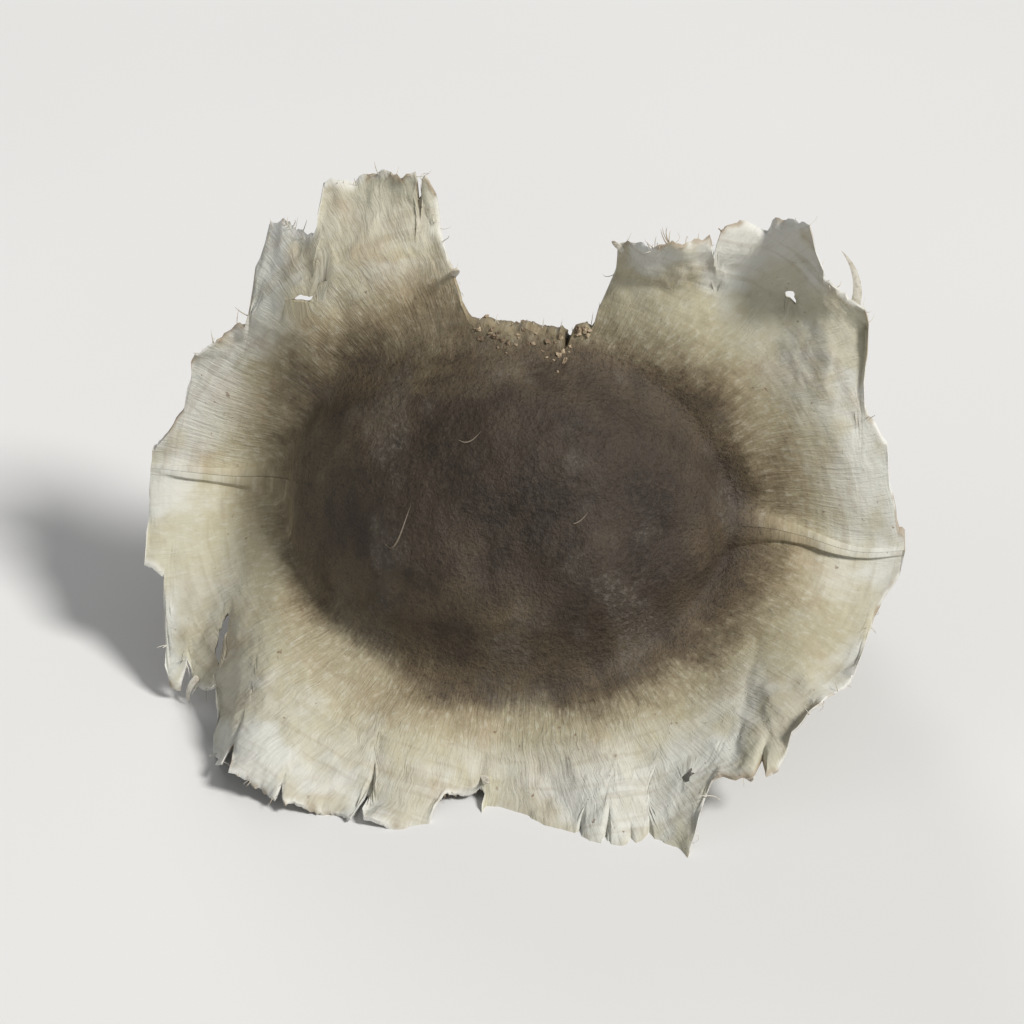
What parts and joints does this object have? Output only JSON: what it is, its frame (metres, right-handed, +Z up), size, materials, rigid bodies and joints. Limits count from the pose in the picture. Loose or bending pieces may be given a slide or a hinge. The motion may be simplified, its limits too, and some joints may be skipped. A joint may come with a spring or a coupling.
{
  "type": "moringa seed",
  "caption": "Dried winged seed: a rounded brown coat with cream papery wings whose edges are torn and ragged, lying on two of its wings.",
  "frame": {"origin": "on the resting surface, under the middle of the seed's box", "axes": "+X along the seed's long axis, +Z up, through the wing that stands up; -Y is the side of the face that is finished to be seen"},
  "size_m": [0.0228, 0.0184, 0.0153],
  "materials": {
    "seed_coat": "matte dried seed coat, dark brown on the faces, fading through tan to cream-white papery wings"
  },
  "bodies": {
    "root": {"seed": "seed_coat"}
  },
  "joints": []
}
